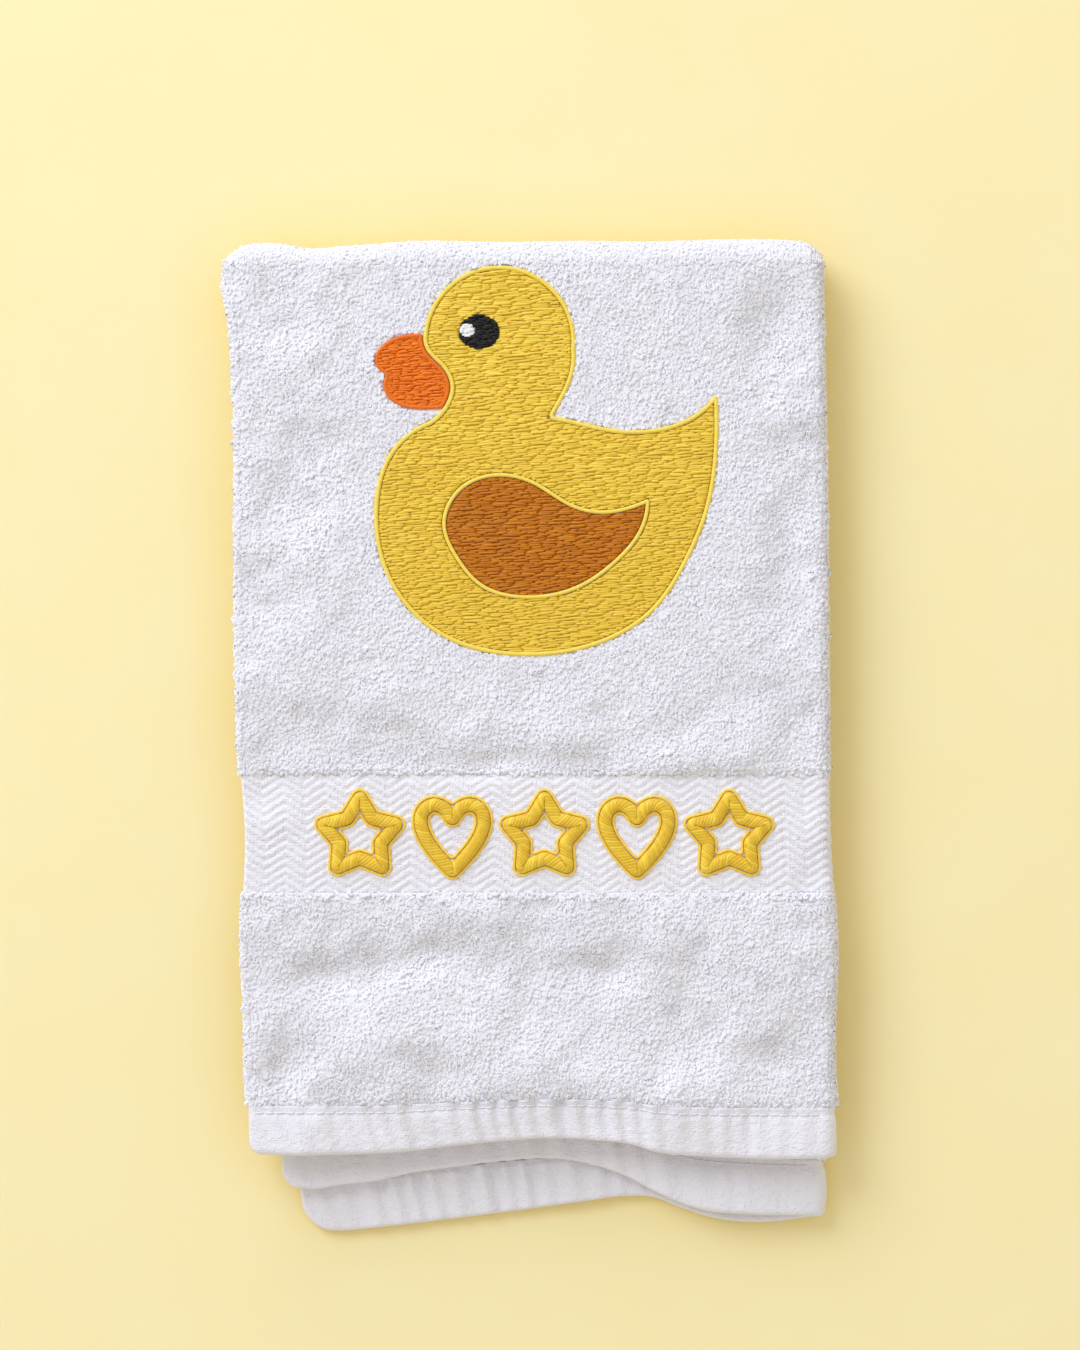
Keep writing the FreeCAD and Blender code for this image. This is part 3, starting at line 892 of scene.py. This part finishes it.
def fill_stitches(outlines, rng, pitch, length, top, dip=0.38):
    """Rows of stitches laid across a shape, each dipping into the cloth at its two ends."""
    low, high = outlines[0][:, 1].min(), outlines[0][:, 1].max()
    t = np.linspace(0, 1, STITCH_POINTS)
    paths = []
    for y in np.arange(low + pitch * 0.4, high - pitch * 0.2, pitch):
        for start, end in spans(outlines, y):
            x = start - rng.uniform(0, length * 0.8)
            while x < end - 0.3:
                reach = length * rng.uniform(0.45, 1.5)
                a, b = max(x, start), min(x + reach, end)
                x += reach
                if b - a < 0.5:
                    continue
                px = a + (b - a) * t
                tilt = STITCH_SLOPE + rng.normal(0, 0.035)
                py = y + rng.normal(0, pitch * 0.16) + tilt * (px - (a + b) / 2)
                py = py + rng.normal(0, 0.08) * np.sin(np.pi * t)
                pz = top + rng.uniform(-0.16, 0.1) - dip * np.abs(2 * t - 1) ** 4
                paths.append(np.stack([px, py, pz], -1))
    return np.array(paths)


ROPE_SIDES = 10
ROPE_RIDGE = 0.11


def rope(line, radius, level, pitch=0.6, closed=True):
    """A cord of close satin stitches along a line in plan: a bead with slanting ridges."""
    ends = np.roll(line, -1, axis=0) - line
    along = np.concatenate([[0], np.cumsum(np.linalg.norm(ends, axis=1))[:-1]])
    whole = along[-1] + np.linalg.norm(ends[-1])
    turns = max(1, round(whole / pitch))
    tangent = np.roll(line, -1, axis=0) - np.roll(line, 1, axis=0)
    if not closed:
        tangent[0], tangent[-1] = line[1] - line[0], line[-1] - line[-2]
    tangent = unit(tangent)
    side = np.stack([tangent[:, 1], -tangent[:, 0]], -1)
    angle = 2 * np.pi * np.arange(ROPE_SIDES) / ROPE_SIDES
    wave = np.abs(np.sin(np.pi * along[:, None] * turns / whole + 0.5 * np.cos(angle)[None, :]))
    r = radius * (1 + ROPE_RIDGE * (1.6 * wave - 1))
    plan = line[:, None, :] + side[:, None, :] * (r * np.cos(angle))[..., None]
    height = level + 0.9 * r * np.sin(angle)
    verts = np.concatenate([plan, height[..., None]], -1)
    index = np.arange(len(line) * ROPE_SIDES).reshape(len(line), ROPE_SIDES)
    caps = [] if closed else end_caps(index[None])
    following = np.roll(index, -1, axis=0) if closed else index[1:]
    walls = loop_quads(index if closed else index[:-1], following)
    return verts.reshape(-1, 3), np.concatenate([walls, *caps])


def plate(name, outlines, low, high, material, node, replaces):
    """A thin flat layer over a shape."""
    lines = [[Vector((x, y, 0)) for x, y in line] for line in outlines]
    faces = tessellate_polygon(lines)
    plan = np.concatenate(outlines)
    count = len(plan)
    mesh = bpy.data.meshes.new(name)
    verts = np.concatenate([np.c_[plan, np.full(count, level)] for level in (high, low)]) * MM
    polygons = []
    for a, b, c in faces:
        (ax, ay), (bx, by), (cx, cy) = plan[a], plan[b], plan[c]
        if (bx - ax) * (cy - ay) < (by - ay) * (cx - ax):
            b, c = c, b
        polygons += [(a, b, c), (a + count, c + count, b + count)]
    start = 0
    for line in outlines:
        for i in range(len(line)):
            a, b = start + i, start + (i + 1) % len(line)
            polygons.append((b, a, a + count, b + count))
        start += len(line)
    mesh.from_pydata(verts.tolist(), [], polygons)
    return finished(mesh, material, FRONT, node, replaces)


# ---- towel cloth

CLOTHS = {"hem": HEM, "lower_terry": TERRY, "border": BORDER, "upper_terry": TERRY}
duck_line = evened(top_outlines("duck_outline")[0], 0.5)
beak_line = evened(top_outlines("duck_beak_outline")[0], 0.5)
clearings = [moved(duck_line, 0.15), moved(beak_line, 0.4)]
pressings = [moved(duck_line, -0.3), moved(beak_line, -0.1)]

for leaf in LEAVES.values():
    for zone_name, material in CLOTHS.items():
        pressed = pressings if (leaf["name"], zone_name) == ("front", "upper_terry") else ()
        cloth_piece(leaf, zone_name, material, pressed)

FINE = {"pitch": FINE_PITCH, "yarn": FINE_YARN}
for leaf in LEAVES.values():
    rng = np.random.default_rng(SEED + len(leaf["name"]))
    front = leaf["name"] == "front"
    for zone_name in ("lower_terry", "upper_terry"):
        clear = clearings if front and zone_name == "upper_terry" else ()
        detail = FINE if front else {}
        loops = face_pile(leaf, zone_name, "upper", rng, clear, **detail)
        loops += face_pile(leaf, zone_name, "turn", rng, **FINE)
        loops += face_pile(leaf, zone_name, "lower", rng, points=5)
        loops += edge_pile(leaf, zone_name, "upper", rng)
        loops += edge_pile(leaf, zone_name, "lower", rng)
        sheets[leaf["name"] + "_" + zone_name]["with"] += loops


# ---- the crosswise fold

# Each ply of the fold: half height and depth of its outer and inner faces, and corner radii
FOLDS = {
    "top_fold_outer": (((7.6, 5.2), (5.05, 3.1)), (7.7, 6.4)),
    "top_fold_inner": (((3.85, 2.6), (1.3, 1.0)), (2.5, 2.5)),
}
FOLD_INSET = 1.2


def fold_reach(x, corners, left, right):
    """How much of the fold's depth is left at x, as the corners are rounded in plan."""
    near_left = np.clip(1 - (x - left) / corners[0], 0, 1)
    near_right = np.clip(1 - (right - x) / corners[1], 0, 1)
    return np.maximum(np.sqrt(1 - near_left**2) * np.sqrt(1 - near_right**2), 0.12)


def fold_grid(half_height, depth, x, angle, corners):
    """A curved face swept across the towel, and its outward directions."""
    left, right = x.min(), x.max()
    waver = smooth_through(CREASE_WAVE, x) + 0.15 * np.sin(x / 6.1)
    reach = (depth + waver * depth / 6) * fold_reach(x, corners, left, right)
    y = FOLD_Y - 0.4 + (reach + 0.4) * np.cos(angle)
    z = MIDDLE + half_height * np.sin(angle)
    out = [np.zeros_like(x), np.cos(angle) * half_height, np.sin(angle) * (reach + 1.5)]
    return np.stack([x, y, z], -1), unit(np.stack(out, -1))


def blend_fold(piece):
    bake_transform(piece)


for name, (((tall, deep), (inner_tall, inner_deep)), corners) in FOLDS.items():
    left, right = FOLD_LEFT + FOLD_INSET, FOLD_RIGHT - FOLD_INSET
    x, angle = np.meshgrid(np.linspace(left, right, 78), np.radians(np.linspace(-90, 90, 19)))
    outer = fold_grid(tall, deep, x, angle, corners)[0]
    inner = fold_grid(inner_tall, inner_deep, x, angle, corners)[0]
    verts, quads = thick_sheet(outer[:, ::-1], inner[:, ::-1])
    piece = add_piece(name + "_cloth", verts, quads, TERRY, None, name)
    blend_fold(piece)
    girth = np.pi * (1.5 * (tall + deep) - 0.5 * math.sqrt((3 * tall + deep) * (tall + 3 * deep)))
    sheets[name] = {"piece": piece, "flat": ((right - left) * MM, girth * MM), "with": []}
    if name == "top_fold_inner":
        continue
    rng = np.random.default_rng(SEED + 7)
    across, up = scatter(right - left, girth, rng, FINE_PITCH)
    x = left + (right - left) * across
    angle = np.radians(-88 + 176 * up)
    base, out = fold_grid(tall - LOOP_ROOT, deep - LOOP_ROOT, x, angle, corners)
    out[x < left + FOLD_END_REACH, 0] -= FOLD_END_TILT
    out[x > right - FOLD_END_REACH, 0] += FOLD_END_TILT
    sheets[name]["with"] += add_pile(name, "", base, unit(out), rng, None, 7, FINE_YARN)


# ---- seams and turned side hems

SEAM_SPACING = 2.7
SEAM_STITCH = 2.3
SEAM_RADIUS = 0.17
SEAM_LIFT = 0.03
SEAM_DIP = 0.3
THREAD_SIDES = 6


def seam_threads(leaf, q_from, q_to):
    """Stitches along the hem's seam over one face of a leaf."""
    zone = leaf["zones"]["hem"]
    count = int((q_to - q_from) * (FOLD_RIGHT - FOLD_LEFT) / SEAM_SPACING)
    t = np.linspace(0, 1, 5)
    place = np.arange(count)[:, None] + t * SEAM_STITCH / SEAM_SPACING
    q = q_from + (q_to - q_from) * place / count
    d = np.full_like(q, zone["span"][1] - SEAM_INSET)
    lift = puckers(leaf, q, d)[0] + SEAM_LIFT - SEAM_DIP * (2 * t - 1) ** 4
    return on_leaf(leaf, zone, q, d, zone["outer"] + lift)[0]


for leaf in LEAVES.values():
    paths = [seam_threads(leaf, low, high) for low, high in ((0.012, 0.995), (2.005, 2.988))]
    verts, quads = tubes(np.concatenate(paths), SEAM_RADIUS, THREAD_SIDES)
    name = leaf["name"] + "_hem_stitching"
    threads = add_piece(name + "_threads", verts, quads, SEAM, leaf["body"], name)
    sheets[leaf["name"] + "_hem"]["with"].append(threads)

STRIP_OFF = 0.3
STRIP_HALF = 0.23
STRIP_STEPS = 90
STITCH_STEPS = 340
SIDE_THREAD_RADIUS = 0.16


def strip_face(leaf, ply, off, steps):
    """One face of the narrow hem turned in along the open side of a ply."""
    low = leaf[ply]["hem_left"] + HEM_TOP + SIDE_GAP
    rows, columns = np.linspace(low, FOLD_Y - 0.3, steps), np.linspace(0, 1, 9)
    y, across = np.meshgrid(rows, columns, indexing="ij")
    x = left_x(leaf, ply, y) + SIDE_INSET + SIDE_WIDTH * across
    curl = 0.06 * np.sin(y * 1.7) * np.sin(np.pi * across)
    return np.stack([x, y, leaf["mid"] + off + curl], -1)


for leaf in LEAVES.values():
    rows = []
    for ply, sign in (("upper", 1), ("lower", -1)):
        offs = [sign * STRIP_OFF + half for half in (STRIP_HALF, -STRIP_HALF)]
        top, under = [strip_face(leaf, ply, off, STRIP_STEPS) for off in offs]
        verts, quads = thick_sheet(top, under)
        name = leaf["name"] + "_" + ply + "_side_hem"
        strip = add_piece(name + "_strip", verts, quads, HEM, leaf["body"], name)
        sheets[leaf["name"] + "_upper_terry"]["with"].append(strip)
        line = strip_face(leaf, ply, sign * (STRIP_OFF - STRIP_HALF), STITCH_STEPS)[:, 1]
        t = np.arange(5)
        steps = np.arange(STITCH_STEPS)
        index = np.minimum(steps[: STITCH_STEPS // 4, None] * 4 + t * 0.85, STITCH_STEPS - 1)
        stitch = np.stack([np.interp(index, steps, line[:, i]) for i in range(3)], -1)
        stitch[..., 2] += sign * 0.12 * (np.abs(t - 2) / 2) ** 3
        rows.append(stitch)
    verts, quads = tubes(np.concatenate(rows), SIDE_THREAD_RADIUS, THREAD_SIDES)
    name = leaf["name"] + "_side_hem_stitching"
    add_piece(name + "_threads", verts, quads, SEAM, leaf["body"], name)


# ---- the duck

# The lower and upper faces of the beds under the stitches and of the stabiliser behind them
BED_LEVELS = (15.3, 16.15)
BACKING_LEVELS = (13.3, 13.6)
BOBBIN_LEVEL = 13.2
BOBBIN_DIP = 0.1
BOBBIN_RADIUS = 0.14

# Filled areas: thread, spacing of the rows, length of a stitch, level and radius of the thread
FILLS = {
    "duck_body": (YELLOW, 0.5, 4.0, 16.45, 0.32),
    "duck_wing": (AMBER, 0.5, 4.0, 16.45, 0.32),
    "duck_beak": (ORANGE, 0.48, 3.2, 16.45, 0.31),
    "duck_eye": (BLACK, 0.46, 3.0, 16.75, 0.31),
    "duck_eye_highlight": (GLINT, 0.46, 2.6, 16.8, 0.31),
}
CORD_HALF = 0.575
ROPE_STEP = 0.15
CORD_STITCH = 4

rng = np.random.default_rng(SEED + 20)


def backing(node):
    """The sheet of stabiliser behind a piece of embroidery, cut round it."""
    outline = top_outlines(node)[0]
    piece = plate(node + "_sheet", [outline], *BACKING_LEVELS, BACKING, node, True)


def bobbin(name, paths):
    """The thin thread that holds the embroidery at the back."""
    verts, quads = tubes(paths, BOBBIN_RADIUS, 4)
    add_piece(name + "_threads", verts, quads, SEAM, FRONT, name + "_stitching")


def cord(node, line, material, radius, level, closed=True):
    """A satin outline along a line in plan."""
    verts, quads = rope(line, radius, level, closed=closed)
    step = np.arange(len(line)) // CORD_STITCH
    tone = np.repeat(rng.uniform(0.3, 0.9, step[-1] + 1)[step], ROPE_SIDES)
    add_piece(node + "_cord", verts, quads, material, FRONT, node, tone)


def inset(outline, distance, rounds):
    """A smooth line that runs inside an outline."""
    return evened(moved(evened(outline, 0.3, rounds), -distance), ROPE_STEP)


def cord_line(node):
    """The middle of a satin outline, from the outer edge of its node."""
    return inset(top_outlines(node)[0], CORD_HALF, 2)


for node, (material, pitch, length, level, radius) in FILLS.items():
    outlines = top_outlines(node)
    plate(node + "_bed", outlines, *BED_LEVELS, material, node, False)
    paths = fill_stitches(outlines, rng, pitch, length, level)
    verts, quads = tubes(paths, radius, THREAD_SIDES, squash=0.8)
    tone = rng.normal(0.55, 0.28, len(paths)).clip(0, 1)
    if node == "duck_body":
        # The body's threads are a deeper yellow towards the bottom and paler towards the top
        tone = np.clip(tone + np.clip((paths[:, 0, 1] - 62) / 130, -0.22, 0.2), 0, 1)
    tone = np.repeat(tone, paths.shape[1] * THREAD_SIDES)
    add_piece(node + "_threads", verts, quads, material, FRONT, node, tone)

outline = cord_line("duck_outline")
cord("duck_outline", outline, OUTLINE, 0.56, 16.4)
cord("duck_wing_outline", cord_line("duck_wing_outline"), OUTLINE, 0.5, 16.45)

# The beak's outline stops where the body's passes over it
beak_edge = cord_line("duck_beak_outline")
gap = np.array([np.min(np.linalg.norm(outline - point, axis=1)) for point in beak_edge])
free = gap > 1.2
first = int(np.argmax(free & ~np.roll(free, 1)))
beak_edge = np.roll(beak_edge, -first, axis=0)[: int(free.sum())]
cord("duck_beak_outline", beak_edge, ORANGE_EDGE, 0.52, 16.4, closed=False)

backing("duck_backing")
lines = top_outlines("duck_bobbin_stitching")
bobbin("duck_bobbin", fill_stitches(lines, rng, 2.2, 6.0, BOBBIN_LEVEL, BOBBIN_DIP))


# ---- the row of satin motifs

STAR_RADIUS = 9.9
STAR_WAIST = 5.6
HEART_POINTS = ((0, 4.6), (2.1, 7.3), (4.9, 8.2), (7.4, 6.6), (8.1, 3.3), (6.5, -1.0), (3.4, -5.2),
                (0, -8.8))
SATIN_HALF = 1.6
SATIN_RISE = 1.5
SATIN_PITCH = 0.9
SATIN_STEP = 0.11


def motif_line(star):
    """The line that a motif's satin stroke follows, anticlockwise, about its own middle."""
    if star:
        angle = np.pi * (0.5 + np.arange(10) / 5)
        radius = np.where(np.arange(10) % 2 == 0, STAR_RADIUS, STAR_WAIST)
        return np.stack([radius * np.cos(angle), radius * np.sin(angle)], -1)
    points = np.array(HEART_POINTS)
    order = np.arange(len(points))
    t = np.linspace(0, order[-1], 60)
    curve = np.stack([smooth_through(np.c_[order, points[:, i]], t) for i in range(2)], -1)
    other = curve[::-1][1:-1] * [-1, 1]
    return np.concatenate([curve, other])[::-1]


def room_beside(line, out, side):
    """How far a satin stitch can reach to one side before it meets the stroke's other arm."""
    reach = np.full(len(line), 0.25)
    for w in np.linspace(0.25, SATIN_HALF, 14):
        tip = line + out * side * w
        gap = np.linalg.norm(tip[:, None] - line[None], axis=-1).min(axis=1)
        reach = np.where((gap > w * 0.985) & (reach >= w - 0.13), w, reach)
    return reach


def satin(line, floor, rng):
    """A crowned satin column: threads laid side by side across a closed stroke."""
    out = unit(smoothed(normals_of(line), 10))
    near, far = room_beside(line, out, -1), room_beside(line, out, 1)
    u = np.linspace(-1, 1, 15)
    u = np.sign(u) * np.abs(u) ** 0.8
    reach = np.where(u[None, :] < 0, near[:, None], far[:, None]) * u[None, :]
    plan = line[:, None] + out[:, None] * reach[..., None]
    along = np.arange(len(line)) * SATIN_STEP
    phase = along[:, None] / SATIN_PITCH + 1.1 * u[None, :]
    crown = np.sqrt(np.clip(1 - np.abs(reach / (SATIN_HALF + 0.1)) ** 2.2, 0, 1))
    height = floor + 0.2 + SATIN_RISE * crown + 0.32 * np.abs(np.sin(np.pi * phase)) ** 0.5
    tone = rng.uniform(0.1, 0.95, int(phase.max()) + 3)[(phase + 1).astype(int)]
    top = np.concatenate([plan, height[..., None]], -1)
    under = np.concatenate([plan, np.full_like(height, floor - 0.2)[..., None]], -1)
    ring = np.concatenate([top, under[:, ::-1]], axis=1)
    index = np.arange(ring[..., 0].size).reshape(ring.shape[:2])
    quads = loop_quads(index, np.roll(index, -1, axis=0))[:, [0, 3, 2, 1]]
    return ring.reshape(-1, 3), quads, np.concatenate([tone, tone[:, ::-1]], axis=1).ravel()


MOTIFS = ["border_motif_" + str(number) for number in range(1, 6)]
MOTIF_EDGE_RADIUS = 0.36
MOTIF_EDGE_INSET = 0.34
MOTIF_EDGE_STITCH = 3

for number, node in enumerate(MOTIFS):
    low, high = box(node)
    line = evened(motif_line(number % 2 == 0), SATIN_STEP, 14)
    line += (low + high)[:2] / 2 - (line.max(axis=0) + line.min(axis=0)) / 2
    verts, quads, tone = satin(line, low[2], rng)
    add_piece(node + "_satin", verts, quads, GOLD, FRONT, node, tone)
    for i, edge in enumerate(top_outlines(node)[:2]):
        edge = inset(edge, MOTIF_EDGE_INSET, 3)
        verts, quads = rope(edge, MOTIF_EDGE_RADIUS, low[2] + 0.42, pitch=0.5)
        step = np.arange(len(edge)) // MOTIF_EDGE_STITCH
        tone = np.repeat(rng.uniform(0.3, 1, len(edge) // MOTIF_EDGE_STITCH + 1)[step], ROPE_SIDES)
        name = f"{node}_edge_{i + 1}"
        add_piece(name, verts, quads, GOLD_EDGE, FRONT, node, tone, replaces=False)

backing("motif_backing")
paths = [
    fill_stitches(top_outlines(node), rng, 1.6, 4.0, BOBBIN_LEVEL, BOBBIN_DIP) for node in MOTIFS
]
bobbin("motif_bobbin", np.concatenate(paths))


# ---- floor, light and camera

def changing_surface():
    bpy.ops.mesh.primitive_plane_add(size=14)
    floor = bpy.context.object
    floor.name = "changing_surface"
    material, tree = shader("pale_surface", 0.9, 0.15)
    colour = mixed_colour(tree, noise(tree, 30, 6), (255, 243, 190), (253, 238, 180))
    # Painted shadow: where the ambient occlusion node finds the towel close by, the floor's colour
    # turns golden yellow, standing in for a warm contact shadow
    painted_shadow_fac = add_node(tree, "ShaderNodeAmbientOcclusion", Distance=0.02, samples=8).outputs["AO"]
    paint(tree, painted_shadow_fac, (255, 224, 130), colour)
    floor.data.materials.append(material)


WINDOW_COLOUR = (0.92, 0.98, 1.16)


def area_light(name, place, size, watts):
    light = bpy.data.lights.new(name, "AREA")
    light.shape = "DISK"
    light.size = size
    light.energy = watts
    light.color = WINDOW_COLOUR
    lamp = bpy.data.objects.new(name, light)
    lamp.location = place
    lamp.rotation_euler = (-Vector(place)).to_track_quat("-Z", "Y").to_euler()
    bpy.context.scene.collection.objects.link(lamp)


bpy.context.scene.view_settings.view_transform = "Standard"
changing_surface()
area_light("window", (-1.1, 1.25, 1.3), 1.4, 21)
area_light("low_window", (-0.35, 1.6, 0.6), 0.9, 5)
world = bpy.data.worlds.new("studio")
bpy.context.scene.world = world
world.use_nodes = True
background = world.node_tree.nodes["Background"].inputs
background["Color"].default_value = (1.0, 0.95, 0.87, 1)
background["Strength"].default_value = 0.68

VIEW_CENTRE = (0.0027, 0.016)
VIEW_HEIGHT = 0.3463
LENS = 100
camera = bpy.data.cameras.new("camera")
camera.sensor_fit = "VERTICAL"
camera.sensor_height = 36
camera.lens = LENS
eye = bpy.data.objects.new("camera", camera)
eye.location = (*VIEW_CENTRE, TOP * MM + VIEW_HEIGHT * LENS / camera.sensor_height)
bpy.context.scene.collection.objects.link(eye)
bpy.context.scene.camera = eye
